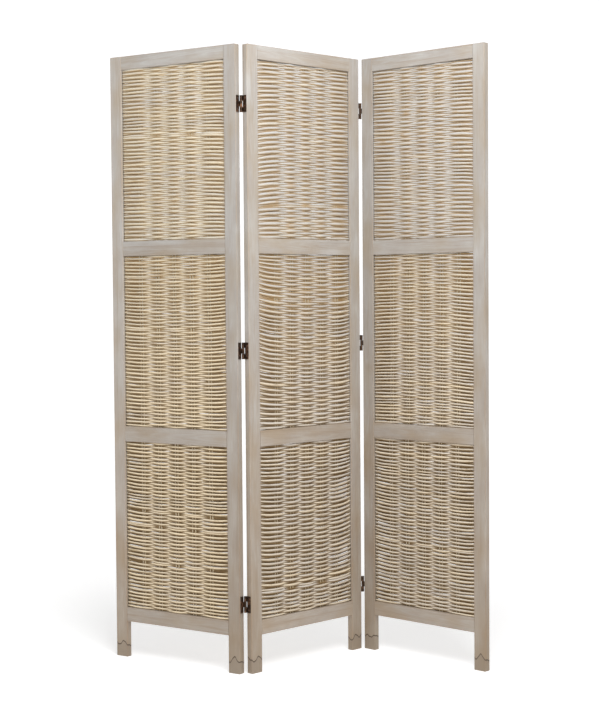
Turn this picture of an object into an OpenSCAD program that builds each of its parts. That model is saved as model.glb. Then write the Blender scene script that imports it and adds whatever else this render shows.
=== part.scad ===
// Folding room divider screen: three framed panels with willow weave, joined by butt hinges.
// Millimetres, +Z up. The origin is on the floor at the middle of the standing zigzag.

/* [Panels] */
// Height from the floor to the top of the frame
screen_height = 1700; // [1500:10:1900]
// Width of one panel
panel_width = 440; // [380:5:520]
// Thickness of the stiles
panel_thickness = 18; // [16:1:26]
// Width of each stile seen from the front
stile_width = 40; // [30:1:55]
// How much each rail face sits behind the stile face
rail_setback = 0.5; // [0.2:0.1:2]
// Height of the top rail
top_rail_height = 38; // [30:1:60]
// Height of the rail between the upper and middle weave
high_rail_height = 42; // [30:1:60]
// Height of the rail between the middle and lower weave
low_rail_height = 44; // [30:1:60]
// Height of the bottom rail
bottom_rail_height = 41; // [30:1:60]
// Clear height of the legs under the bottom rail
leg_height = 102; // [60:1:160]
// Height of the lower weave opening
lower_opening_height = 473; // [420:1:520]

/* [Edges] */
// Radius on the long edges of the stiles
stile_edge_radius = 2; // [1:0.5:3]
// Radius on the outer top and foot corners of the stiles
stile_corner_radius = 3.5; // [2:0.5:6]
// Radius on the long edges of the rails
rail_edge_radius = 1.5; // [0.5:0.5:3]

/* [Frame joints] */
// Thickness of the rail tenons
tenon_thickness = 8; // [6:1:10]
// Length of the rail tenons
tenon_length = 24; // [16:1:28]
// Shoulder above and below each tenon
tenon_shoulder = 6; // [4:1:10]
// Slack around each tenon in its mortise
mortise_slack = 0.1; // [0.05:0.05:0.3]
// Width of the groove that takes the weave ends
groove_width = 8; // [7:0.5:10]
// Depth of the groove that takes the weave ends
groove_depth = 7; // [5:0.5:10]

/* [Weave] */
// Radius of one willow rod
rod_radius = 2.45; // [2:0.05:2.65]
// Vertical distance from one rod to the next
rod_spacing = 5.45; // [5.4:0.05:6]
// Thickness of the closed core over each side of a cane
core_wall = 0.7; // [0.5:0.1:1]
// Thickness of the weave ends inside the grooves
tongue_thickness = 7.2; // [6:0.2:7.6]
// Gap left around the weave and its ends
weave_slack = 0.4; // [0.2:0.1:1]
// Radius of each upright cane; a stake is a pair of canes
cane_radius = 1.6; // [1.3:0.1:2]
// Distance between the two canes of a stake
cane_spacing = 9; // [7:0.5:12]
// Depth of each cane in the rails
stake_seat = 10; // [6:1:14]
// Gap around each cane in the weave and the rails
stake_slack = 0.1; // [0.05:0.05:0.3]

/* [Hinges] */
// Height of each hinge
hinge_height = 45; // [35:1:60]
// Heights of the hinge middles at the left fold
left_hinge_levels = [189, 878, 1541]; // [160:1:1600]
// Heights of the hinge middles at the right fold
right_hinge_levels = [188, 888, 1553]; // [160:1:1600]
// Gap between two stiles when the screen is opened flat
fold_gap = 9; // [8:0.5:12]
// How far the pivot line stands proud of the panel face
pivot_stand_off = 1; // [0.5:0.1:2]
// Radius of the hinge knuckles
knuckle_radius = 3.75; // [3.4:0.05:4]
// Thickness of the hinge leaves
leaf_thickness = 1.5; // [1:0.1:2]
// Reach of each leaf from the pivot line
leaf_reach = 16.5; // [12:0.5:17]
// Radius of the hinge pins
pin_radius = 1.6; // [1.2:0.1:2]
// Radial running clearance between pin and moving knuckle
pin_clearance = 0.05; // [0.01:0.01:0.1]
// Gap between neighbouring knuckles, and from a leaf to the other knuckle
knuckle_gap = 0.4; // [0.3:0.1:0.8]

/* [Screws] */
// Distance of the screws from the pivot line
screw_reach = 10.5; // [8:0.5:12]
// Height of each screw above or below the hinge middle
screw_spread = 14; // [8:1:18]
// Length of the screw shank
screw_length = 16; // [10:1:25]
// Radius of the screw shank
screw_radius = 1.4; // [1:0.1:2]
// Radius of the screw head
screw_head_radius = 2.9; // [2:0.1:3.5]
// Height of the screw head over the leaf
screw_head_height = 0.9; // [0.5:0.1:1.2]

/* [Standing pose] */
// Turn of the left panel about the upright axis
left_turn = -35; // [-60:0.5:0]
// Turn of the center panel about the upright axis
center_turn = 44.5; // [0:0.5:60]
// Turn of the right panel about the upright axis
right_turn = -44.5; // [-60:0.5:0]

/* [Hidden] */
$fn = 48;
wood_color = [0.74, 0.70, 0.65];
willow_color = [0.85, 0.77, 0.62];
stake_color = [0.66, 0.54, 0.38];
hinge_color = [0.25, 0.17, 0.13];
screw_color = [0.33, 0.25, 0.19];

opening_width = panel_width - 2 * stile_width;
bottom_rail_base = leg_height;
lower_opening_base = bottom_rail_base + bottom_rail_height;
low_rail_base = lower_opening_base + lower_opening_height;
middle_opening_base = low_rail_base + low_rail_height;
top_rail_base = screen_height - top_rail_height;
shared_opening_height = (top_rail_base - middle_opening_base - high_rail_height) / 2;
high_rail_base = middle_opening_base + shared_opening_height;
upper_opening_base = high_rail_base + high_rail_height;
stakes_per_opening = 5;
stake_pitch = opening_width / (stakes_per_opening + 1);
cane_places = [
    for (i = [1:stakes_per_opening], s = [-1, 1]) i * stake_pitch + s * cane_spacing / 2];
cane_channel = 2 * (cane_radius + stake_slack);
core_thickness = cane_channel + 2 * core_wall;
rod_bow = cane_channel / 2 + stake_slack + rod_radius;
mortise_floor_gap = 1;
tongue_slack = 1;
pivot_y = panel_thickness / 2 + pivot_stand_off;
pilot_slack = 0.05;
leaf_hole_slack = 0.2;
knuckle_height = (hinge_height - 2 * knuckle_gap) / 3;
screw_slot_width = 0.7;
screw_slot_depth = 0.4;
overlap = 0.5;

// Which side of a panel the pivot line is on
back = 1;
front = -1;

// Place in the list of openings and rails, from the floor up
rail_bases = [bottom_rail_base, low_rail_base, high_rail_base, top_rail_base];
rail_heights = [bottom_rail_height, low_rail_height, high_rail_height, top_rail_height];
opening_bases = [lower_opening_base, middle_opening_base, upper_opening_base];
opening_heights = [lower_opening_height, shared_opening_height, shared_opening_height];

// A plan point turned about the upright axis
function turned(p, a) = [p[0] * cos(a) - p[1] * sin(a), p[0] * sin(a) + p[1] * cos(a)];

// Plan places of the pivot lines and panels, before the screen is centred
left_pivot = turned([-fold_gap / 2, pivot_y], center_turn);
right_pivot = turned([panel_width + fold_gap / 2, -pivot_y], center_turn);
left_place = left_pivot - turned([panel_width + fold_gap / 2, pivot_y], left_turn);
right_place = right_pivot - turned([-fold_gap / 2, -pivot_y], right_turn);

// Middles of the four rounded corners of one panel in plan
corner_x = [stile_edge_radius, panel_width - stile_edge_radius];
corner_y = [stile_edge_radius - panel_thickness / 2, panel_thickness / 2 - stile_edge_radius];
function corners(place, a) = [for (x = corner_x, y = corner_y) place + turned([x, y], a)];
plan = concat(
    corners(left_place, left_turn), corners([0, 0], center_turn), corners(right_place, right_turn));
plan_x = [for (p = plan) p[0]];
plan_y = [for (p = plan) p[1]];
plan_middle = [(min(plan_x) + max(plan_x)) / 2, (min(plan_y) + max(plan_y)) / 2];

// Moves a piece from panel coordinates to its place in the standing screen
module placed(place, a) {
    translate([place[0] - plan_middle[0], place[1] - plan_middle[1], 0])
        rotate([0, 0, a])
            children();
}

module in_left_panel() {
    placed(left_place, left_turn) children();
}

module in_center_panel() {
    placed([0, 0], center_turn) children();
}

module in_right_panel() {
    placed(right_place, right_turn) children();
}

// Rectangle with four rounded corners, one corner at the origin
module rounded_rectangle(w, h, r) {
    translate([r, 0]) square([w - 2 * r, h]);
    translate([0, r]) square([w, h - 2 * r]);
    for (x = [r, w - r], y = [r, h - r]) {
        translate([x, y]) circle(r);
    }
}

// Front outline of a stile, rounded at its outer top and foot corners
module stile_outline() {
    r = stile_corner_radius;
    translate([r, 0]) square([stile_width - r, screen_height]);
    translate([0, r]) square([stile_width, screen_height - 2 * r]);
    for (y = [r, screen_height - r]) {
        translate([r, y]) circle(r);
    }
}

// Holes in the outer edge of a stile for the hinge screws
module pilot_holes(levels, side) {
    for (level = levels, s = [-1, 1]) {
        translate([-overlap, side * (pivot_y - screw_reach), level + s * screw_spread])
            rotate([0, 90, 0])
                cylinder(r = screw_radius + pilot_slack, h = screw_length + overlap);
    }
}

// A stile whose outer edge is at x = 0 and whose grooved edge is at x = stile_width
module stile(levels, side) {
    difference() {
        intersection() {
            translate([0, -panel_thickness / 2, 0])
                linear_extrude(screen_height)
                    rounded_rectangle(stile_width, panel_thickness, stile_edge_radius);
            translate([0, panel_thickness / 2, 0])
                rotate([90, 0, 0])
                    linear_extrude(panel_thickness)
                        stile_outline();
        }
        for (i = [0:3]) {
            mortise_height = rail_heights[i] - 2 * tenon_shoulder + 2 * mortise_slack;
            mortise_depth = tenon_length + mortise_floor_gap;
            mortise_width = tenon_thickness + 2 * mortise_slack;
            translate([
                stile_width - mortise_depth, -mortise_width / 2,
                rail_bases[i] + tenon_shoulder - mortise_slack])
                cube([mortise_depth + overlap, mortise_width, mortise_height]);
        }
        for (i = [0:2]) {
            translate([stile_width - groove_depth, -groove_width / 2, opening_bases[i]])
                cube([groove_depth + overlap, groove_width, opening_heights[i]]);
        }
        pilot_holes(levels, side);
    }
}

// The same stile turned over for the right-hand edge of a panel
module right_hand_stile(levels, side) {
    translate([panel_width, 0, 0])
        mirror([1, 0, 0])
            stile(levels, side);
}

// Holes for the cane ends in one face of a rail
module stake_holes(level) {
    for (x = cane_places) {
        translate([stile_width + x, 0, level])
            cylinder(r = cane_radius + stake_slack, h = stake_seat + overlap);
    }
}

// A rail with a tenon at each end; index 0 is the bottom rail
module rail(index) {
    base = rail_bases[index];
    height = rail_heights[index];
    depth = panel_thickness - 2 * rail_setback;
    difference() {
        union() {
            translate([stile_width, 0, base])
                rotate([90, 0, 90])
                    translate([-depth / 2, 0])
                        linear_extrude(opening_width)
                            rounded_rectangle(depth, height, rail_edge_radius);
            translate([
                stile_width - tenon_length, -tenon_thickness / 2, base + tenon_shoulder])
                cube([
                    opening_width + 2 * tenon_length, tenon_thickness,
                    height - 2 * tenon_shoulder]);
        }
        if (index > 0) {
            stake_holes(base - overlap);
        }
        if (index < 3) {
            stake_holes(base + height - stake_seat);
        }
    }
}

// Left end of the weave band around a stake, measured across the opening
function band_start(i) = i == 1 ? weave_slack : (i - 0.5) * stake_pitch;
function band_end(i) =
    i == stakes_per_opening ? opening_width - weave_slack : (i + 0.5) * stake_pitch;

// Willow rods passing in front of and behind the stakes by turns, on a closed core
module weave(index) {
    height = opening_heights[index] - 2 * weave_slack;
    rods = floor(height / rod_spacing);
    first_rod = (height - (rods - 1) * rod_spacing) / 2;
    tongue = groove_depth - tongue_slack;
    translate([stile_width, 0, opening_bases[index] + weave_slack])
        difference() {
            union() {
                translate([-tongue, -core_thickness / 2, 0])
                    cube([opening_width + 2 * tongue, core_thickness, height]);
                for (x = [-tongue, opening_width + weave_slack]) {
                    translate([x, -tongue_thickness / 2, 0])
                        cube([tongue - weave_slack, tongue_thickness, height]);
                }
                for (i = [1:stakes_per_opening], j = [0:rods - 1]) {
                    side = (i + j) % 2 == 0 ? front : back;
                    translate([band_start(i), side * rod_bow, first_rod + j * rod_spacing])
                        rotate([0, 90, 0])
                            cylinder(r = rod_radius, h = band_end(i) - band_start(i));
                }
            }
            for (x = cane_places) {
                translate([x - cane_channel / 2, -cane_channel / 2, -overlap])
                    cube([cane_channel, cane_channel, height + 2 * overlap]);
            }
        }
}

// Upright stakes of one opening, pairs of canes seated in the rails above and below
module stakes(index) {
    for (x = cane_places) {
        translate([stile_width + x, 0, opening_bases[index] - stake_seat + stake_slack])
            cylinder(
                r = cane_radius,
                h = opening_heights[index] + 2 * (stake_seat - stake_slack));
    }
}

// Moves a hinge piece from the pivot line to a stile's outer edge at x = 0
module at_edge(level, side) {
    translate([-fold_gap / 2, side * pivot_y, level])
        mirror([0, side == front ? 1 : 0, 0])
            children();
}

// Moves a hinge piece to the right-hand edge of a panel
module at_right_edge() {
    translate([panel_width, 0, 0])
        mirror([1, 0, 0])
            children();
}

// A hinge leaf with knuckles at the given places; place 0 is the middle third
module leaf(places, bore) {
    pitch = knuckle_height + knuckle_gap;
    plate_x = fold_gap / 2 - leaf_thickness;
    relief = knuckle_radius + knuckle_gap;
    others = [for (p = [-1:1]) if (len(search(p, places)) == 0) p];
    difference() {
        union() {
            translate([plate_x, -leaf_reach, -hinge_height / 2])
                cube([leaf_thickness, leaf_reach, hinge_height]);
            for (p = places) {
                translate([0, 0, p * pitch - knuckle_height / 2])
                    cylinder(r = knuckle_radius, h = knuckle_height);
            }
        }
        for (p = others) {
            relief_height = knuckle_height + 2 * knuckle_gap;
            translate([0, -relief, p * pitch - relief_height / 2])
                cube([fold_gap, 2 * relief, relief_height]);
        }
        translate([0, 0, -hinge_height / 2 - overlap])
            cylinder(r = bore, h = hinge_height + 2 * overlap);
        for (s = [-1, 1]) {
            translate([plate_x - overlap, -screw_reach, s * screw_spread])
                rotate([0, 90, 0])
                    cylinder(r = screw_radius + leaf_hole_slack, h = leaf_thickness + 2 * overlap);
        }
    }
}

// The leaf on the center panel holds the pin in its top and bottom knuckles
module fixed_leaf() {
    leaf([-1, 1], pin_radius);
}

// The leaf on a side panel turns on the pin with its middle knuckle
module turning_leaf() {
    leaf([0], pin_radius + pin_clearance);
}

module hinge_pin() {
    translate([0, 0, -hinge_height / 2])
        cylinder(r = pin_radius, h = hinge_height);
}

// The two screws of one hinge leaf, with crossed slots in their heads
module leaf_screws() {
    head_x = fold_gap / 2 - leaf_thickness;
    for (s = [-1, 1]) {
        translate([head_x, -screw_reach, s * screw_spread])
            rotate([0, 90, 0])
                difference() {
                    union() {
                        cylinder(r = screw_radius, h = screw_length);
                        translate([0, 0, -screw_head_height])
                            cylinder(
                                r1 = screw_head_radius - screw_head_height,
                                r2 = screw_head_radius,
                                h = screw_head_height);
                    }
                    for (a = [0, 90]) {
                        rotate([0, 0, a])
                            translate([0, 0, -screw_head_height])
                                cube(
                                    [2 * screw_radius, screw_slot_width, 2 * screw_slot_depth],
                                    center = true);
                    }
                }
    }
}

module left_panel_left_stile() {
    color(wood_color) in_left_panel() stile([], back);
}

module left_panel_right_stile() {
    color(wood_color) in_left_panel() right_hand_stile(left_hinge_levels, back);
}

module left_panel_top_rail() {
    color(wood_color) in_left_panel() rail(3);
}

module left_panel_high_rail() {
    color(wood_color) in_left_panel() rail(2);
}

module left_panel_low_rail() {
    color(wood_color) in_left_panel() rail(1);
}

module left_panel_bottom_rail() {
    color(wood_color) in_left_panel() rail(0);
}

module left_panel_upper_weave() {
    color(willow_color) in_left_panel() weave(2);
}

module left_panel_upper_stakes() {
    color(stake_color) in_left_panel() stakes(2);
}

module left_panel_middle_weave() {
    color(willow_color) in_left_panel() weave(1);
}

module left_panel_middle_stakes() {
    color(stake_color) in_left_panel() stakes(1);
}

module left_panel_lower_weave() {
    color(willow_color) in_left_panel() weave(0);
}

module left_panel_lower_stakes() {
    color(stake_color) in_left_panel() stakes(0);
}

module center_panel_left_stile() {
    color(wood_color) in_center_panel() stile(left_hinge_levels, back);
}

module center_panel_right_stile() {
    color(wood_color) in_center_panel() right_hand_stile(right_hinge_levels, front);
}

module center_panel_top_rail() {
    color(wood_color) in_center_panel() rail(3);
}

module center_panel_high_rail() {
    color(wood_color) in_center_panel() rail(2);
}

module center_panel_low_rail() {
    color(wood_color) in_center_panel() rail(1);
}

module center_panel_bottom_rail() {
    color(wood_color) in_center_panel() rail(0);
}

module center_panel_upper_weave() {
    color(willow_color) in_center_panel() weave(2);
}

module center_panel_upper_stakes() {
    color(stake_color) in_center_panel() stakes(2);
}

module center_panel_middle_weave() {
    color(willow_color) in_center_panel() weave(1);
}

module center_panel_middle_stakes() {
    color(stake_color) in_center_panel() stakes(1);
}

module center_panel_lower_weave() {
    color(willow_color) in_center_panel() weave(0);
}

module center_panel_lower_stakes() {
    color(stake_color) in_center_panel() stakes(0);
}

module right_panel_left_stile() {
    color(wood_color) in_right_panel() stile(right_hinge_levels, front);
}

module right_panel_right_stile() {
    color(wood_color) in_right_panel() right_hand_stile([], front);
}

module right_panel_top_rail() {
    color(wood_color) in_right_panel() rail(3);
}

module right_panel_high_rail() {
    color(wood_color) in_right_panel() rail(2);
}

module right_panel_low_rail() {
    color(wood_color) in_right_panel() rail(1);
}

module right_panel_bottom_rail() {
    color(wood_color) in_right_panel() rail(0);
}

module right_panel_upper_weave() {
    color(willow_color) in_right_panel() weave(2);
}

module right_panel_upper_stakes() {
    color(stake_color) in_right_panel() stakes(2);
}

module right_panel_middle_weave() {
    color(willow_color) in_right_panel() weave(1);
}

module right_panel_middle_stakes() {
    color(stake_color) in_right_panel() stakes(1);
}

module right_panel_lower_weave() {
    color(willow_color) in_right_panel() weave(0);
}

module right_panel_lower_stakes() {
    color(stake_color) in_right_panel() stakes(0);
}

module left_top_hinge_center_leaf() {
    color(hinge_color) in_center_panel() at_edge(left_hinge_levels[2], back) fixed_leaf();
}

module left_top_hinge_left_leaf() {
    color(hinge_color) in_left_panel() at_right_edge() at_edge(left_hinge_levels[2], back) turning_leaf();
}

module left_top_hinge_pin() {
    color(hinge_color) in_center_panel() at_edge(left_hinge_levels[2], back) hinge_pin();
}

module left_middle_hinge_center_leaf() {
    color(hinge_color) in_center_panel() at_edge(left_hinge_levels[1], back) fixed_leaf();
}

module left_middle_hinge_left_leaf() {
    color(hinge_color) in_left_panel() at_right_edge() at_edge(left_hinge_levels[1], back) turning_leaf();
}

module left_middle_hinge_pin() {
    color(hinge_color) in_center_panel() at_edge(left_hinge_levels[1], back) hinge_pin();
}

module left_bottom_hinge_center_leaf() {
    color(hinge_color) in_center_panel() at_edge(left_hinge_levels[0], back) fixed_leaf();
}

module left_bottom_hinge_left_leaf() {
    color(hinge_color) in_left_panel() at_right_edge() at_edge(left_hinge_levels[0], back) turning_leaf();
}

module left_bottom_hinge_pin() {
    color(hinge_color) in_center_panel() at_edge(left_hinge_levels[0], back) hinge_pin();
}

module right_top_hinge_center_leaf() {
    color(hinge_color) in_center_panel() at_right_edge() at_edge(right_hinge_levels[2], front) fixed_leaf();
}

module right_top_hinge_right_leaf() {
    color(hinge_color) in_right_panel() at_edge(right_hinge_levels[2], front) turning_leaf();
}

module right_top_hinge_pin() {
    color(hinge_color) in_center_panel() at_right_edge() at_edge(right_hinge_levels[2], front) hinge_pin();
}

module right_middle_hinge_center_leaf() {
    color(hinge_color) in_center_panel() at_right_edge() at_edge(right_hinge_levels[1], front) fixed_leaf();
}

module right_middle_hinge_right_leaf() {
    color(hinge_color) in_right_panel() at_edge(right_hinge_levels[1], front) turning_leaf();
}

module right_middle_hinge_pin() {
    color(hinge_color) in_center_panel() at_right_edge() at_edge(right_hinge_levels[1], front) hinge_pin();
}

module right_bottom_hinge_center_leaf() {
    color(hinge_color) in_center_panel() at_right_edge() at_edge(right_hinge_levels[0], front) fixed_leaf();
}

module right_bottom_hinge_right_leaf() {
    color(hinge_color) in_right_panel() at_edge(right_hinge_levels[0], front) turning_leaf();
}

module right_bottom_hinge_pin() {
    color(hinge_color) in_center_panel() at_right_edge() at_edge(right_hinge_levels[0], front) hinge_pin();
}

module left_panel_screws() {
    color(screw_color) {
        for (level = left_hinge_levels) {
            in_left_panel() at_right_edge() at_edge(level, back) leaf_screws();
        }
    }
}

module center_panel_screws() {
    color(screw_color) {
        for (level = left_hinge_levels) {
            in_center_panel() at_edge(level, back) leaf_screws();
        }
        for (level = right_hinge_levels) {
            in_center_panel() at_right_edge() at_edge(level, front) leaf_screws();
        }
    }
}

module right_panel_screws() {
    color(screw_color) {
        for (level = right_hinge_levels) {
            in_right_panel() at_edge(level, front) leaf_screws();
        }
    }
}

left_panel_left_stile();
left_panel_right_stile();
left_panel_top_rail();
left_panel_high_rail();
left_panel_low_rail();
left_panel_bottom_rail();
left_panel_upper_weave();
left_panel_upper_stakes();
left_panel_middle_weave();
left_panel_middle_stakes();
left_panel_lower_weave();
left_panel_lower_stakes();
center_panel_left_stile();
center_panel_right_stile();
center_panel_top_rail();
center_panel_high_rail();
center_panel_low_rail();
center_panel_bottom_rail();
center_panel_upper_weave();
center_panel_upper_stakes();
center_panel_middle_weave();
center_panel_middle_stakes();
center_panel_lower_weave();
center_panel_lower_stakes();
right_panel_left_stile();
right_panel_right_stile();
right_panel_top_rail();
right_panel_high_rail();
right_panel_low_rail();
right_panel_bottom_rail();
right_panel_upper_weave();
right_panel_upper_stakes();
right_panel_middle_weave();
right_panel_middle_stakes();
right_panel_lower_weave();
right_panel_lower_stakes();
left_top_hinge_center_leaf();
left_top_hinge_left_leaf();
left_top_hinge_pin();
left_middle_hinge_center_leaf();
left_middle_hinge_left_leaf();
left_middle_hinge_pin();
left_bottom_hinge_center_leaf();
left_bottom_hinge_left_leaf();
left_bottom_hinge_pin();
right_top_hinge_center_leaf();
right_top_hinge_right_leaf();
right_top_hinge_pin();
right_middle_hinge_center_leaf();
right_middle_hinge_right_leaf();
right_middle_hinge_pin();
right_bottom_hinge_center_leaf();
right_bottom_hinge_right_leaf();
right_bottom_hinge_pin();
left_panel_screws();
center_panel_screws();
right_panel_screws();
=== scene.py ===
"""Looks for the folding room divider screen: whitewashed frames, woven willow and bronze hinges."""
import math

import bpy
import numpy as np
from mathutils import Euler, Matrix, Vector


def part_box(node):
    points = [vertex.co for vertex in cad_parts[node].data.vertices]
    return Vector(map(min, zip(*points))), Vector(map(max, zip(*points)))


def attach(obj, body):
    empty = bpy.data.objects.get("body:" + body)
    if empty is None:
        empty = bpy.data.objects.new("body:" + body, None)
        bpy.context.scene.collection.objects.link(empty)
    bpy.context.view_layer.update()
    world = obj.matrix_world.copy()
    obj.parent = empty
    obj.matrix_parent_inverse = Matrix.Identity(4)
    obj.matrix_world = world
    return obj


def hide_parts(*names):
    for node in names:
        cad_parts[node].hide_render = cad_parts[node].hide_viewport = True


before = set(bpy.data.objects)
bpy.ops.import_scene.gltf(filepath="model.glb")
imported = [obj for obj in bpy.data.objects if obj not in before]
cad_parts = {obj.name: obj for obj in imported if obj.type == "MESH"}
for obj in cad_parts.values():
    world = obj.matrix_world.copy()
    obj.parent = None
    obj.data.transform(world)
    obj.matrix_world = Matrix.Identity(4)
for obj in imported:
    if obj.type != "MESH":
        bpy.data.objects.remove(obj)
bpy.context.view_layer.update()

MM = 0.001
SIDES = ("left", "center", "right")
LEVELS = ("upper", "middle", "lower")

# Boards
STILE_WIDTH = 40 * MM
STILE_THICKNESS = 18 * MM
RAIL_THICKNESS = 17 * MM
EDGE_WEAR_REACH = 2.6 * MM
FOOT_STAIN_HEIGHT = 36 * MM
GROWTH_LINE_PITCH = 3.6 * MM
GROWTH_LINE_WOBBLE = 9 * MM
GROWTH_LINE_SLANT = 0.035

# Canes. A stake is a pair of them, and each is a flattened tube.
STAKES = 5
CANE_SPACING = 9 * MM
CANE_HALF_WIDTH = 1.7 * MM
CANE_HALF_DEPTH = 1.2 * MM
CANE_RINGS = 40
CANE_COAT = 0.9

# Rods. At a stake a rod's middle is ROD_REACH in front or behind. Between stakes the rod is
# ROD_TUCK times its own thickness. Its ends reach into the grooves of the stiles, where
# ROD_END_HOLD is the room on each side of the middle, and it leaves the middle over the first
# LEAD_IN of the way to the outer stakes.
ROD_REACH = 2.9 * MM
ROD_TUCK = 1.05
LEAD_IN = 0.7
ROD_END_REACH = 5.5 * MM
ROD_END_HOLD = 3.9 * MM

# Most rods pass a stake on the other side from the rod below. This share of them doesn't.
SAME_SIDE_CHANCE = 0.008
THIN_RUN_CHANCE = 0.15

# How quickly the slope at a section's side edges dies away, as a share of its width.
SLOPE_REACH = 0.17

TUBE_SIDES = 8
RING_PLACES = (0.0, 0.15, 0.29, 0.4, 0.5, 0.6, 0.71, 0.85)

# A little over one whole wave, so that a wave may start anywhere.
ANY_START = 6.3

# How far each tube's grain may be moved, so that no two look alike.
GRAIN_SHIFT = 5

# Added to the running seed, so that stakes and boards draw other numbers than the rods.
STAKE_SEED = 50
BOARD_SEED = 100


class Section:
    """How one woven section differs from the others, in millimetres.

    pitch: height that one rod takes up. lift: how far the left and right ends of its rods sit
    above their middle. tilt: how far the right ends hang below the left ends. lean: how far its
    stakes stand to the right, at the top and at the bottom. grey: from 0 for cream whitewash to
    1 for grey, which is the tone of its rods.
    """

    def __init__(self, pitch, lift, tilt, lean, grey):
        self.pitch = pitch * MM
        self.lift = lift
        self.tilt = tilt
        self.lean = lean
        self.grey = grey

    def lean_at(self, up):
        """How far a stake stands to the right, from up = 0 at the bottom to 1 at the top."""
        return self.lean[1] + (self.lean[0] - self.lean[1]) * up


SECTIONS = {
    ("left", "upper"): Section(5.3, (0, -4), 8, (0, 0), 0.35),
    ("left", "middle"): Section(5.1, (3, 8), 2, (-2, 0), 0.05),
    ("left", "lower"): Section(5.1, (3, 4), 5, (0, -2), 0.05),
    ("center", "upper"): Section(6.2, (-12, 1), -5, (9, 9), 0.95),
    ("center", "middle"): Section(6.1, (17, 9), 3, (12, 8), 0.85),
    ("center", "lower"): Section(5.8, (8, 13), 1, (8, 2), 0.75),
    ("right", "upper"): Section(5.6, (3, -4), 6, (-3, 0), 1.0),
    ("right", "middle"): Section(4.9, (-9, -6), 9, (5, 2), 0.6),
    ("right", "lower"): Section(5.0, (5, 4), 8, (-2, -2), 0.65),
}

# How far a rod sags at a stake, how many times its own thickness it is there, how sharply it bulges
# over the stake, how deep into the weave the whitewash reaches, and how much whitewash a rod's side
# keeps under the painted shade that darkens its underside.
SAG = {"upper": -0.3 * MM, "middle": 0.9 * MM, "lower": 1.2 * MM}
SWELL = {"upper": 1.47, "middle": 1.26, "lower": 1.32}
BULGE = {"upper": 2.0, "middle": 1.1, "lower": 0.9}
WASH_DEPTH = {"upper": 3.8 * MM, "middle": 3.2 * MM, "lower": 2.4 * MM}
SIDE_WASH_UNDER_PAINTED_SHADE = {"upper": 0.95, "middle": 0.75, "lower": 0.6}

# Willow colours: the whitewash at tone 0 and at tone 1, and the darkest and lightest bare willow.
ROD_WASH = ((0.83, 0.70, 0.50), (0.62, 0.58, 0.525))
ROD_BARE = ((0.28, 0.17, 0.07), (0.52, 0.36, 0.18))
CANE_WASH = ((0.6, 0.49, 0.31), (0.66, 0.58, 0.44))
CANE_BARE = ((0.26, 0.17, 0.09), (0.38, 0.27, 0.15))
# Painted shade: bare willow darker low down, whitewash darker and greyer high up.
GAP_SHADE_LOW_DOWN = (0.4, 0.37, 0.31)
WASH_SHADE_HIGH_UP = (0.74, 0.8, 0.875)

# Board colours
WASH_THIN = (0.36, 0.335, 0.312)
WASH_THICK = (0.445, 0.435, 0.418)
WASH_TAN = (0.36, 0.305, 0.24)
WOOD_DARK = (0.25, 0.19, 0.135)
WOOD_LIGHT = (0.335, 0.27, 0.205)
WORN_EDGE = (0.32, 0.25, 0.18)
# Painted shade: boards darker and warmer towards the floor, and legs more so.
BOARD_SHADE_LOW_DOWN = (0.93, 0.83, 0.73)
LEG_SHADE = (0.8, 0.72, 0.6)
DAMP = (0.28, 0.215, 0.15)
FOOT_BELOW_TIDE = (0.22, 0.18, 0.14)
TIDE_LINE = (0.07, 0.045, 0.03)

# Painted light and shade: how light each stile is painted, left and right, and the rails between
# them, standing in for how the light falls on each board.
STILE_PAINTED_LIGHT = {"left": (1.02, 0.89), "center": (0.98, 0.98), "right": (0.87, 0.92)}
RAIL_PAINTED_LIGHT = {"left": 0.92, "center": 1.0, "right": 0.93}

# Bronze colours: base and worn
HINGE_BRONZE = ((0.045, 0.026, 0.016), (0.21, 0.105, 0.055))
SCREW_BRONZE = ((0.05, 0.03, 0.02), (0.2, 0.1, 0.06))

# Camera of the photographed view, in metres, millimetres and degrees
CAMERA_PLACE = (-0.039, -4.464, 1.030)
CAMERA_LENS = 80
CAMERA_SENSOR = 36
CAMERA_PITCH = -2.36
CAMERA_YAW = -0.63
CAMERA_ROLL = 0.42

# Studio, in metres and watts
LAMP_SIZE = 1.0
KEY_POWER = 35.5
TOP_POWER = 21.5
SKY_STRENGTH = 0.24
PAPER_GLOW = 0.56
PAPER_GLOW_AWAY = 0.13
PAPER_DARK = (0.71, 0.71, 0.71)
PAPER_LIGHT = (0.73, 0.73, 0.73)
FLOOR_RADIUS = 7.0
BEND_RADIUS = 1.5
BACKDROP_TOP = 4.2
BEND_STEPS = 16
FLOOR_SPOKES = 96


# ---------------------------------------------------------------- panels

class Panel:
    """Directions and places of one panel, read from its stiles."""

    def __init__(self, side):
        self.side = side
        self.body = f"{side}_panel"
        left = middle_of(f"{self.body}_left_stile")
        right = middle_of(f"{self.body}_right_stile")
        self.along = (right - left).normalized()
        self.back = Vector((-self.along.y, self.along.x, 0))
        self.turn = math.atan2(self.along.y, self.along.x)
        self.opening_width = (right - left).length - STILE_WIDTH
        self.start = left + self.along * STILE_WIDTH / 2

    def place(self, points):
        """Points given along the opening, towards the back and up, put in the shared frame."""
        basis = np.array([self.along, self.back, (0, 0, 1)])
        return points @ basis + np.array([self.start.x, self.start.y, 0])


def middle_of(node):
    """The middle of a node seen from above."""
    low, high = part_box(node)
    return Vector(((low.x + high.x) / 2, (low.y + high.y) / 2, 0))


# ---------------------------------------------------------------- tubes

def tube(path, radii, spin):
    """Rings of points round a path that runs along x, and the outward direction at each."""
    angle = np.arange(TUBE_SIDES) * 2 * math.pi / TUBE_SIDES + spin
    ring = np.stack([np.zeros(TUBE_SIDES), np.cos(angle), np.sin(angle)], 1)
    points = path[:, None, :] + ring[None] * radii[:, None, None]
    return points.reshape(-1, 3), np.tile(ring, (len(path), 1))


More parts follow.
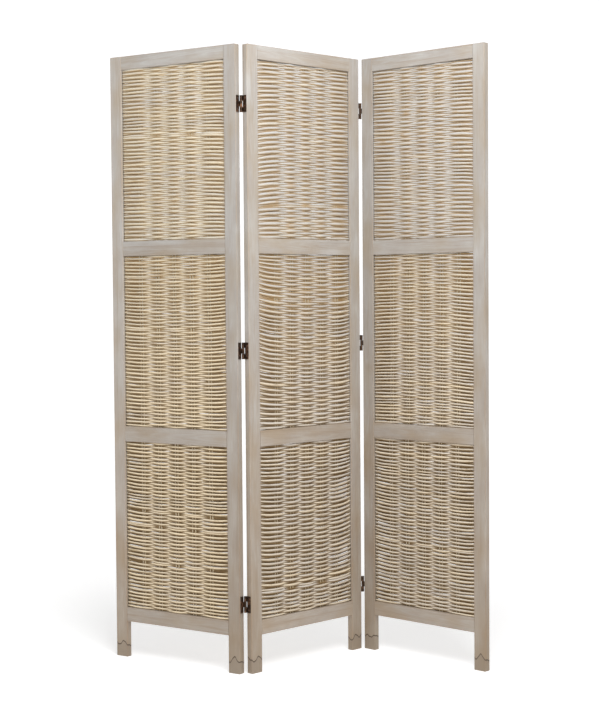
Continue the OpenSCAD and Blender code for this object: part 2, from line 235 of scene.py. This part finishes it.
def tube_faces(rings, first):
    """Faces of one tube whose points start at index first, closed at both ends."""
    a = np.arange(rings - 1)[:, None] * TUBE_SIDES
    b = np.arange(TUBE_SIDES)[None]
    c = (b + 1) % TUBE_SIDES
    quads = np.stack([a + b, a + c, a + TUBE_SIDES + c, a + TUBE_SIDES + b], -1)
    start_cap = list(range(first + TUBE_SIDES - 1, first - 1, -1))
    end = first + (rings - 1) * TUBE_SIDES
    end_cap = list(range(end, end + TUBE_SIDES))
    return (quads.reshape(-1, 4) + first).tolist() + [start_cap, end_cap]


class Bundle:
    """Tubes gathered into one mesh, with the numbers that its material reads at each point.

    tone: which of its two whitewash colours the tube has, from 0 to 1. wash_and_shade: how much
    whitewash there is, less on rod undersides as painted shade. run: a place in the tube's own
    grain.
    """

    def __init__(self):
        self.points = []
        self.faces = []
        self.count = 0
        self.values = {"tone": [], "wash_and_shade": [], "run": []}

    def add(self, points, tone, wash_and_shade, run, mirrored=False):
        faces = tube_faces(len(points) // TUBE_SIDES, self.count)
        self.faces += [face[::-1] for face in faces] if mirrored else faces
        self.points.append(points)
        self.count += len(points)
        self.values["tone"].append(np.full(len(points), tone))
        self.values["wash_and_shade"].append(wash_and_shade)
        self.values["run"].append(run)

    def mesh(self, name, panel):
        """A smooth mesh in the panel's place that carries the numbers as attributes."""
        mesh = bpy.data.meshes.new(name)
        points = panel.place(np.concatenate(self.points))
        mesh.from_pydata(points.tolist(), [], self.faces)
        for key, parts in self.values.items():
            numbers = np.concatenate(parts)
            kind, field = ("FLOAT", "value") if numbers.ndim == 1 else ("FLOAT_VECTOR", "vector")
            layer = mesh.attributes.new(key, kind, "POINT")
            layer.data.foreach_set(field, numbers.astype(np.float32).ravel())
        mesh.shade_smooth()
        mesh.update()
        return mesh


def add_object(mesh):
    piece = bpy.data.objects.new(mesh.name, mesh)
    bpy.context.scene.collection.objects.link(piece)
    return piece


def add_willow(panel, name, node, bundle, material):
    """One piece of willow that rides on its panel and stands for a CAD node."""
    piece = add_object(bundle.mesh(name, panel))
    piece.data.materials.append(material)
    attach(piece, panel.body)
    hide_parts(node)


# ---------------------------------------------------------------- weave

def wave(x, slowest, quickest, rng):
    """A wave along x, from -1 to 1, of random length and start."""
    return np.sin(x * rng.uniform(slowest, quickest) + rng.uniform(0, ANY_START))


def rod_radii(rng, height, section):
    """Rod radii from the bottom up: mostly even, with short runs of thin rods."""
    count = round(height / section.pitch)
    radii = []
    while len(radii) < count:
        size = rng.uniform(0.97, 1.05)
        if rng.random() < THIN_RUN_CHANCE:
            size = rng.uniform(0.8, 0.88)
        radii += [size * rng.uniform(0.9, 1.12) for _ in range(rng.integers(3, 10))]
    radii = np.array(radii[:count])
    return radii * height / (2 * radii.sum())


def slid(x, z, width, height, section):
    """How far a rod has slid up or down at each point; nothing slides at the rails."""
    hold = np.clip(np.sin(math.pi * z / height), 0, 1) ** 0.5
    u = x / width
    left_end = section.lift[0] * np.exp(-u / SLOPE_REACH)
    right_end = section.lift[1] * np.exp((u - 1) / SLOPE_REACH)
    level = SLOPE_REACH * sum(section.lift)
    return hold * (left_end + right_end - level + section.tilt * (0.5 - u)) * MM


def rod_side(x, stakes, width, bulge):
    """From -1 to 1: a rod's place in front of or behind the stakes, and 0 inside the grooves."""
    pitch = stakes[1] - stakes[0]
    swing = np.cos(math.pi * (x - stakes[0]) / pitch)
    side = np.sign(swing) * np.abs(swing) ** bulge
    last = 1 if len(stakes) % 2 else -1
    lead_in = np.sin(np.clip(x / (LEAD_IN * stakes[0]), 0, 1) * math.pi / 2)
    far = width - stakes[-1]
    lead_out = np.sin(np.clip((width - x) / (LEAD_IN * far), 0, 1) * math.pi / 2)
    side = np.where(x < stakes[0], lead_in, side)
    return np.where(x > stakes[-1], last * lead_out, side)


def ring_places(stakes, width):
    """Where along a rod its rings go: closest together where it crosses its neighbours."""
    posts = [-ROD_END_REACH, *stakes, width + ROD_END_REACH]
    places = [a + (b - a) * f for a, b in zip(posts, posts[1:]) for f in RING_PLACES]
    return np.array(places + [posts[-1]])


def weave_rods(panel, level, seed, material):
    """All the willow rods of one opening, as one object."""
    node = f"{panel.body}_{level}_weave"
    section = SECTIONS[panel.side, level]
    low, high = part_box(node)
    rng = np.random.default_rng(seed)
    height = high.z - low.z
    width = panel.opening_width
    even = np.arange(1, STAKES + 1) * width / (STAKES + 1)
    radii = rod_radii(rng, height, section)
    bundle = Bundle()
    front = 1
    for top, r in zip(np.cumsum(2 * radii), radii):
        z = top - r
        stakes = even + section.lean_at(z / height) * MM
        x = ring_places(stakes, width)
        side = rod_side(x, stakes, width, BULGE[level])
        y = side * ROD_REACH
        inside = np.clip(np.minimum(x, width - x) / (LEAD_IN * even[0]), 0, 1)
        y += np.sign(side) * (1 - inside) * max(ROD_END_HOLD - r, 0)
        if rng.random() > SAME_SIDE_CHANCE:
            front = -front
        y *= front

        wander = wave(x / width, 4, 12, rng) * 0.5
        wander += wave(x / width, 15, 40, rng) * 0.25
        rise = z + slid(x, z, width, height, section) + wander * MM
        rise -= np.abs(side) * SAG[level] * math.sin(math.pi * z / height) ** 0.3
        swell = wave(x / width, 8, 25, rng)
        taper = rng.uniform(-0.1, 0.1) * (x / width - 0.5)
        at_stakes = ROD_TUCK + (SWELL[level] - ROD_TUCK) * np.abs(side)
        thick = r * (1 + 0.05 * swell + taper) * at_stakes
        points, normals = tube(np.stack([x, y, rise], 1), thick, rng.uniform(0, 1))

        outward = np.repeat(y, TUBE_SIDES) * np.sign(normals[:, 1])
        exposed = np.clip(outward / WASH_DEPTH[level] + 1, 0, 1)
        # Painted light and shade: a rod's top keeps its whitewash and its underside loses it, as
        # under light from above.
        painted_top_light = np.clip(SIDE_WASH_UNDER_PAINTED_SHADE[level] + 1.2 * normals[:, 2], 0, 1)
        wash_and_shade = np.clip(np.abs(normals[:, 1]) * 1.8, 0, 1) * exposed * painted_top_light
        tone = np.clip(rng.normal(section.grey, 0.16), 0, 1)
        run = np.stack([points[:, 0], normals[:, 1] * r, normals[:, 2] * r], 1)
        run += rng.uniform(-GRAIN_SHIFT, GRAIN_SHIFT, 3)
        bundle.add(points + np.array([0, 0, low.z]), tone, wash_and_shade, run)
    add_willow(panel, f"{panel.side}_{level}_rods", node, bundle, material)


def weave_stakes(panel, level, seed, material):
    """The upright stakes of one opening, pairs of slightly crooked canes, as one object."""
    node = f"{panel.body}_{level}_stakes"
    section = SECTIONS[panel.side, level]
    low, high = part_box(node)
    rng = np.random.default_rng(seed)
    z = np.linspace(low.z, high.z, CANE_RINGS)
    up = (z - low.z) / (high.z - low.z)
    bundle = Bundle()
    for i in range(2 * STAKES):
        crook = wave(z, 8, 16, rng) * np.sin(math.pi * up)
        stake = (i // 2 + 1) * panel.opening_width / (STAKES + 1)
        across = stake + (i % 2 - 0.5) * CANE_SPACING + (section.lean_at(up) + crook) * MM
        thick = CANE_HALF_WIDTH * (1 + 0.06 * np.sin(z * rng.uniform(30, 60)))

        # The tube is made lying along x, flattened, then stood up by swapping x and z.
        path = np.stack([z, np.zeros(len(z)), across], 1)
        points, normals = tube(path, thick, 0)
        points[:, 1] *= CANE_HALF_DEPTH / CANE_HALF_WIDTH
        tone = rng.uniform(0.2, 0.7)
        wash_and_shade = np.full(len(points), CANE_COAT)
        round_it = normals * CANE_HALF_WIDTH
        run = np.stack([points[:, 0], round_it[:, 1], round_it[:, 2]], 1)
        run += rng.uniform(-GRAIN_SHIFT, GRAIN_SHIFT, 3)
        bundle.add(points[:, [2, 1, 0]], tone, wash_and_shade, run, mirrored=True)
    add_willow(panel, f"{panel.side}_{level}_stakes", node, bundle, material)


# ---------------------------------------------------------------- materials

class Nodes:
    """A short way to write a node tree that ends in one Principled shader."""

    def __init__(self, name):
        self.material = bpy.data.materials.new(name)
        self.material.use_nodes = True
        self.tree = self.material.node_tree
        self.shader = self.tree.nodes["Principled BSDF"]

    def add(self, kind, **settings):
        node = self.tree.nodes.new(kind)
        for key, value in settings.items():
            setattr(node, key, value)
        return node

    def link(self, output, node, socket):
        self.tree.links.new(output, node.inputs[socket])

    def feed(self, node, socket, value):
        """Links another node's output, or sets a plain value."""
        if isinstance(value, bpy.types.NodeSocket):
            self.link(value, node, socket)
        else:
            node.inputs[socket].default_value = value

    def math(self, operation, a, b=0.0, clamp=False):
        node = self.add("ShaderNodeMath", operation=operation, use_clamp=clamp)
        self.feed(node, 0, a)
        self.feed(node, 1, b)
        return node.outputs[0]

    def scaled(self, value, by, plus):
        return self.math("ADD", self.math("MULTIPLY", value, by), plus)

    def mix(self, factor, a, b, blend="MIX"):
        node = self.add("ShaderNodeMix", data_type="RGBA", blend_type=blend)
        self.feed(node, 0, factor)
        self.feed(node, 6, a)
        self.feed(node, 7, b)
        return node.outputs[2]

    def ramp(self, value, zero_at, one_at):
        """Smoothly from 0 to 1 between two values; zero_at may be the higher one."""
        node = self.add("ShaderNodeMapRange", interpolation_type="SMOOTHSTEP")
        self.feed(node, 0, value)
        node.inputs[1].default_value = zero_at
        node.inputs[2].default_value = one_at
        return node.outputs[0]

    def noise(self, vector, scale, detail, rough=0.5, distortion=0.0):
        """Noise whose scale is how many lumps there are in a metre, one number or one per axis."""
        if isinstance(scale, tuple):
            sized = self.add("ShaderNodeMapping")
            self.link(vector, sized, 0)
            sized.inputs[3].default_value = scale
            vector, scale = sized.outputs[0], 1.0
        node = self.add("ShaderNodeTexNoise")
        self.link(vector, node, "Vector")
        node.inputs["Scale"].default_value = scale
        node.inputs["Detail"].default_value = detail
        node.inputs["Roughness"].default_value = rough
        node.inputs["Distortion"].default_value = distortion
        return node.outputs[0]

    def place(self):
        return self.add("ShaderNodeTexCoord").outputs["Object"]

    def field(self, name, output):
        """A number or vector that the mesh carries."""
        return self.add("ShaderNodeAttribute", attribute_name=name).outputs[output]

    def split(self, vector):
        node = self.add("ShaderNodeSeparateXYZ")
        self.link(vector, node, 0)
        return node.outputs

    def joined(self, x, y, z):
        node = self.add("ShaderNodeCombineXYZ")
        for socket, value in enumerate((x, y, z)):
            self.feed(node, socket, value)
        return node.outputs[0]

    def finish(self, base, roughness, specular, bump_height, strength, distance):
        """Feeds the shader its colour, roughness, specular level and bump."""
        self.link(base, self.shader, "Base Color")
        self.link(roughness, self.shader, "Roughness")
        self.shader.inputs["Specular IOR Level"].default_value = specular
        bump = self.add("ShaderNodeBump")
        bump.inputs["Strength"].default_value = strength
        bump.inputs["Distance"].default_value = distance
        self.link(bump_height, bump, "Height")
        self.link(bump.outputs[0], self.shader, "Normal")
        return self.material


def colour(rgb):
    return (*rgb, 1.0)


def willow_material(name, wash, bare):
    """Round willow: thin whitewash on the outer side, bare willow in the gaps.

    Painted shade makes the bare willow darker low down and the whitewash darker and greyer high up.
    """
    n = Nodes(name)
    run = n.field("run", "Vector")
    tone = n.field("tone", "Fac")
    wash_and_shade = n.field("wash_and_shade", "Fac")
    height = n.split(n.place())[2]
    streaks = n.noise(run, (16, 800, 800), 4.0, 0.6)
    patches = n.noise(run, (22, 60, 60), 3.0, 0.6)
    clouds = n.noise(n.place(), 11.0, 2.0)

    bare_mix = n.mix(n.ramp(streaks, 0.3, 0.7), colour(bare[0]), colour(bare[1]))
    # Painted shade on the bare willow in the gaps, darker low down.
    painted_shade_low = n.math("MULTIPLY", n.ramp(height, 1.25, 0.5), 0.8)
    bare_mix = n.mix(painted_shade_low, bare_mix, colour(GAP_SHADE_LOW_DOWN), "MULTIPLY")

    clouded = n.math("MULTIPLY", n.math("SUBTRACT", clouds, 0.5), 0.9)
    wash_mix = n.mix(n.math("ADD", tone, clouded, clamp=True), colour(wash[0]), colour(wash[1]))
    # Painted shade on the whitewash, darker and greyer high up.
    wash_mix = n.mix(n.ramp(height, 0.6, 1.2), wash_mix, colour(WASH_SHADE_HIGH_UP), "MULTIPLY")

    # The whitewash share also carries the painted shade on rod undersides.
    cover = n.math("MULTIPLY", wash_and_shade, n.ramp(patches, 0.1, 0.46))
    cover = n.math("MULTIPLY", cover, n.ramp(streaks, 0.12, 0.45))
    base = n.mix(cover, bare_mix, wash_mix)
    return n.finish(base, n.scaled(streaks, 0.25, 0.5), 0.3, streaks, 0.5, 0.4 * MM)


def board_material(node, panel, upright, painted_light_level, seed):
    """Whitewashed timber: fine grain, growth lines, patchy thin paint, worn edges, stained feet,
    and painted light and shade.
    """
    n = Nodes(f"{node}_wood")
    low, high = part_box(node)
    middle = (low + high) / 2
    height_from = 0 if upright else middle.z
    across, through, length = board_directions(n, panel, (middle.x, middle.y, height_from))
    height = n.math("ADD", length, height_from)
    if not upright:
        across, length = length, across
    rng = np.random.default_rng(seed)
    board = n.joined(across, through, n.math("ADD", length, float(rng.uniform(2, 60))))

    grain = n.noise(board, (420, 420, 8), 5.0, 0.62, 0.3)
    streaks = n.noise(board, (95, 95, 2.2), 3.0, 0.55, 0.5)
    patches = n.noise(board, (26, 26, 9), 4.0, 0.6)
    clouds = n.noise(board, (13, 13, 5), 3.0, 0.55)
    lines = growth_lines(n, board, across, through, length, rng)

    wash = n.mix(n.ramp(patches, 0.25, 0.75), colour(WASH_THIN), colour(WASH_THICK))
    wash = n.mix(n.ramp(clouds, 0.4, 0.75), wash, colour(WASH_TAN))
    wood = n.mix(streaks, colour(WOOD_DARK), colour(WOOD_LIGHT))
    cover = n.math("ADD", n.ramp(grain, 0.2, 0.5), n.ramp(streaks, 0.28, 0.5))
    cover = n.scaled(cover, 0.3, 0.36)
    cover = n.math("SUBTRACT", cover, n.math("MULTIPLY", lines, 0.16), clamp=True)
    paint = n.mix(cover, wood, wash)

    # Wear where the faces meet.
    width = STILE_WIDTH if upright else high.z - low.z
    thickness = STILE_THICKNESS if upright else RAIL_THICKNESS
    from_side = n.math("SUBTRACT", width / 2, n.math("ABSOLUTE", across))
    from_face = n.math("SUBTRACT", thickness / 2, n.math("ABSOLUTE", through))
    ragged = n.math("MULTIPLY", n.math("SUBTRACT", patches, 0.5), 6 * MM)
    from_edge = n.math("ADD", n.math("MAXIMUM", from_side, from_face), ragged)
    wear = n.ramp(from_edge, EDGE_WEAR_REACH, 0.2 * MM)
    paint = n.mix(n.math("MULTIPLY", wear, 0.5), paint, colour(WORN_EDGE))

    # Painted light and shade: each board lighter or darker for how the light falls on it,
    # and painted shade, darker and warmer, towards the floor.
    paint = n.mix(1.0, paint, colour((painted_light_level,) * 3), "MULTIPLY")
    painted_shade_low = n.math("MULTIPLY", n.ramp(height, 1.3, 0.3), 0.7)
    paint = n.mix(painted_shade_low, paint, colour(BOARD_SHADE_LOW_DOWN), "MULTIPLY")
    if upright:
        paint = foot_stain_and_shade(n, paint, across, through, length, rng)
    relief = n.math("SUBTRACT", grain, n.math("MULTIPLY", lines, 0.3))
    return n.finish(paint, n.scaled(grain, 0.2, 0.55), 0.25, relief, 0.4, 0.35 * MM)


def board_directions(n, panel, origin):
    """How far a point is from the origin along the panel, towards its back, and up."""
    turned = n.add("ShaderNodeMapping")
    n.link(n.place(), turned, 0)
    back_turn = Matrix.Rotation(-panel.turn, 3, "Z")
    turned.inputs[1].default_value = -(back_turn @ Vector(origin))
    turned.inputs[2].default_value = (0, 0, -panel.turn)
    return n.split(turned.outputs[0])


def growth_lines(n, board, across, through, length, rng):
    """Growth lines: shells round a slanted heart line that runs beyond one face."""
    wobble = n.noise(board, (30, 30, 5), 2.0)
    aside = n.math("ADD", across, float(rng.uniform(-8, 8) * MM))
    under = n.math("ADD", through, float(rng.uniform(14, 30) * MM))
    shell = n.math("SQRT", n.math("ADD", n.math("POWER", aside, 2.0), n.math("POWER", under, 2.0)))
    slant = float(rng.choice([-1, 1]) * GROWTH_LINE_SLANT)
    rings = n.math("ADD", shell, n.math("MULTIPLY", length, slant))
    rings = n.math("ADD", rings, n.math("MULTIPLY", wobble, GROWTH_LINE_WOBBLE))
    rings = n.math("FRACT", n.math("DIVIDE", rings, GROWTH_LINE_PITCH))
    return n.ramp(n.math("ABSOLUTE", n.math("SUBTRACT", rings, 0.5)), 0.5, 0.2)


def foot_stain_and_shade(n, paint, across, through, length, rng):
    """Painted shade near the floor, warmer and darker, and a stain: one wavy tide line round the
    foot.
    """
    painted_shade_low = n.math("MULTIPLY", n.ramp(length, 0.5, 0.0), 0.5)
    paint = n.mix(painted_shade_low, paint, colour(LEG_SHADE), "MULTIPLY")
    start = float(rng.uniform(0, ANY_START))
    swing = n.math("SINE", n.math("ADD", n.math("MULTIPLY", across, 210.0), start))
    ragged = n.noise(n.joined(across, through, 0.0), (48, 48, 48), 1.0)
    tide = n.math("ADD", n.scaled(ragged, 28 * MM, -14 * MM), n.math("MULTIPLY", swing, 5 * MM))
    above = n.math("SUBTRACT", length, n.math("ADD", tide, FOOT_STAIN_HEIGHT))
    damp = n.math("MULTIPLY", n.ramp(above, 45 * MM, 0.0), 0.35)
    below = n.math("MULTIPLY", n.ramp(above, 1 * MM, -3 * MM), 0.4)
    line = n.math("MULTIPLY", n.ramp(n.math("ABSOLUTE", above), 2.6 * MM, 0.8 * MM), 0.95)
    paint = n.mix(damp, paint, colour(DAMP))
    paint = n.mix(below, paint, colour(FOOT_BELOW_TIDE))
    return n.mix(line, paint, colour(TIDE_LINE))


def bronze_material(name, base, worn):
    """Dark antique bronze with brown wear."""
    n = Nodes(name)
    spots = n.noise(n.place(), 420.0, 4.0, 0.6)
    wear = n.ramp(n.noise(n.place(), 95.0, 3.0, 0.55), 0.48, 0.7)
    n.shader.inputs["Metallic"].default_value = 0.75
    blend = n.mix(wear, colour(base), colour(worn))
    return n.finish(blend, n.scaled(spots, 0.3, 0.3), 0.5, spots, 0.3, 0.2 * MM)


def paper_material():
    """White paper that glows a little more away from the object, where the lamps reach less."""
    n = Nodes("studio_paper")
    speckle = n.noise(n.place(), 30.0, 3.0)
    n.link(n.mix(speckle, colour(PAPER_DARK), colour(PAPER_LIGHT)), n.shader, "Base Color")
    distance = n.add("ShaderNodeVectorMath", operation="LENGTH")
    n.link(n.place(), distance, 0)
    distance = distance.outputs["Value"]
    away = n.math("MULTIPLY", n.ramp(distance, 0.5, 1.8), n.ramp(distance, 8.5, 7.0))
    n.link(n.scaled(away, PAPER_GLOW_AWAY, PAPER_GLOW), n.shader, "Emission Strength")
    n.shader.inputs["Roughness"].default_value = 0.9
    n.shader.inputs["Specular IOR Level"].default_value = 0.0
    n.shader.inputs["Emission Color"].default_value = colour((1, 1, 1))
    return n.material


def dress(node, material):
    """Gives every slot of a carried-over CAD piece this material."""
    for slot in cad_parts[node].material_slots:
        slot.material = material


# ---------------------------------------------------------------- studio

def sweep_floor():
    """A round floor that curves up into a backdrop on every side."""
    profile = [(FLOOR_RADIUS / 2, 0.0)]
    for i in range(BEND_STEPS + 1):
        a = math.pi / 2 * i / BEND_STEPS
        profile.append((FLOOR_RADIUS + BEND_RADIUS * math.sin(a), BEND_RADIUS * (1 - math.cos(a))))
    profile.append((FLOOR_RADIUS + BEND_RADIUS, BACKDROP_TOP))
    points = [(0, 0, 0)]
    for radius, z in profile:
        for j in range(FLOOR_SPOKES):
            a = 2 * math.pi * j / FLOOR_SPOKES
            points.append((radius * math.cos(a), radius * math.sin(a), z))
    faces = []
    for j in range(FLOOR_SPOKES):
        k = (j + 1) % FLOOR_SPOKES
        faces.append((0, 1 + j, 1 + k))
        for i in range(len(profile) - 1):
            inner, outer = 1 + i * FLOOR_SPOKES, 1 + (i + 1) * FLOOR_SPOKES
            faces.append((inner + j, outer + j, outer + k, inner + k))
    mesh = bpy.data.meshes.new("studio_floor")
    mesh.from_pydata(points, [], faces)
    mesh.shade_smooth()
    mesh.materials.append(paper_material())
    add_object(mesh)


def soft_light(name, place, target, power):
    """A square lamp that faces its target."""
    lamp = bpy.data.lights.new(name, "AREA")
    lamp.shape = "RECTANGLE"
    lamp.size = LAMP_SIZE
    lamp.size_y = LAMP_SIZE
    lamp.energy = power
    lit = bpy.data.objects.new(name, lamp)
    lit.location = place
    lit.rotation_euler = (Vector(target) - Vector(place)).to_track_quat("-Z", "Y").to_euler()
    bpy.context.scene.collection.objects.link(lit)


def studio():
    """The floor, two lamps in front of the screen, and an even white sky."""
    sweep_floor()
    soft_light("key", (0.3, -2.0, 2.2), (0.1, 0, 1.3), KEY_POWER)
    soft_light("top", (0.2, -1.2, 3.0), (0.1, 0, 1.2), TOP_POWER)
    world = bpy.data.worlds.new("studio")
    world.use_nodes = True
    sky = world.node_tree.nodes["Background"]
    sky.inputs[0].default_value = colour((1, 1, 1))
    sky.inputs[1].default_value = SKY_STRENGTH
    bpy.context.scene.world = world
    bpy.context.scene.view_settings.view_transform = "Standard"


def camera():
    """The view of the photograph."""
    lens = bpy.data.cameras.new("camera")
    lens.lens = CAMERA_LENS
    lens.sensor_width = CAMERA_SENSOR
    view = bpy.data.objects.new("camera", lens)
    aim = Euler((math.radians(90 + CAMERA_PITCH), 0, math.radians(CAMERA_YAW))).to_matrix()
    roll = Matrix.Rotation(math.radians(-CAMERA_ROLL), 3, "Z")
    view.matrix_world = Matrix.Translation(CAMERA_PLACE) @ (aim @ roll).to_4x4()
    bpy.context.scene.collection.objects.link(view)
    bpy.context.scene.camera = view


# ---------------------------------------------------------------- the screen

def painted_light_of(name, side):
    """How light a board is painted, as painted light and shade."""
    if name.endswith("_rail"):
        return RAIL_PAINTED_LIGHT[side]
    left, right = STILE_PAINTED_LIGHT[side]
    return right if name.endswith("_right_stile") else left


def main():
    rods = willow_material("willow_rods", ROD_WASH, ROD_BARE)
    stakes = willow_material("willow_stakes", CANE_WASH, CANE_BARE)
    hinge = bronze_material("hinge_bronze", *HINGE_BRONZE)
    screw = bronze_material("screw_bronze", *SCREW_BRONZE)
    seed = 1
    for side in SIDES:
        panel = Panel(side)
        for level in LEVELS:
            weave_rods(panel, level, seed, rods)
            weave_stakes(panel, level, seed + STAKE_SEED, stakes)
            seed += 1
        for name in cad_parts:
            if name.startswith(panel.body) and name.endswith(("_stile", "_rail")):
                upright = name.endswith("_stile")
                # How light this board is painted, as painted light and shade.
                light = painted_light_of(name, side)
                dress(name, board_material(name, panel, upright, light, seed + BOARD_SEED))
                seed += 1
    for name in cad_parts:
        if "_hinge_" in name:
            dress(name, hinge)
        if name.endswith("_screws"):
            dress(name, screw)
    studio()
    camera()


main()
